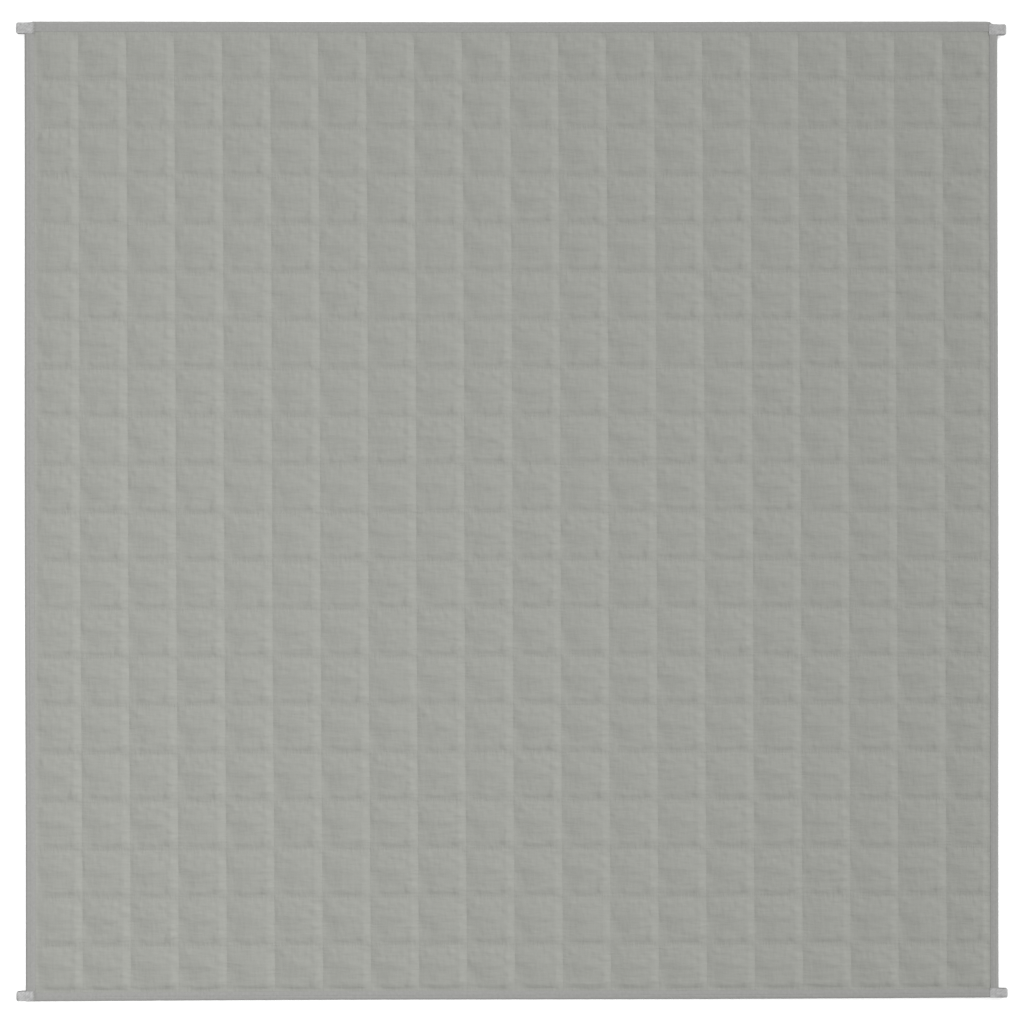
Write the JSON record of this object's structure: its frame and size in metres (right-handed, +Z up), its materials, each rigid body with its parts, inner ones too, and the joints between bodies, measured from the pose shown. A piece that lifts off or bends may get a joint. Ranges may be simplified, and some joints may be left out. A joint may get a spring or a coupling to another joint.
{
  "type": "weighted blanket",
  "caption": "Square weighted blanket laid out flat: a filled body quilted into square pockets, taped edges and a tape loop at each corner.",
  "frame": {"origin": "on the surface that the blanket lies on, under the middle of its bounding box, loops included", "axes": "+Z up from the back cloth to the face, +Y towards the head edge, the picture's upper edge, +X to the picture's right"},
  "size_m": [2.0366, 2.014, 0.0114],
  "materials": {
    "quilted_cloth": "matt woven cotton, greenish grey",
    "binding_tape": "matt woven tape, neutral grey",
    "loop_tape": "matt twill tape, lighter grey"
  },
  "bodies": {
    "root": {"quilted_body": "quilted_cloth", "binding_left": "binding_tape", "binding_right": "binding_tape", "binding_top": "binding_tape", "binding_bottom": "binding_tape", "corner_loop_top_left": "loop_tape", "corner_loop_top_right": "loop_tape", "corner_loop_bottom_left": "loop_tape", "corner_loop_bottom_right": "loop_tape"}
  },
  "joints": []
}
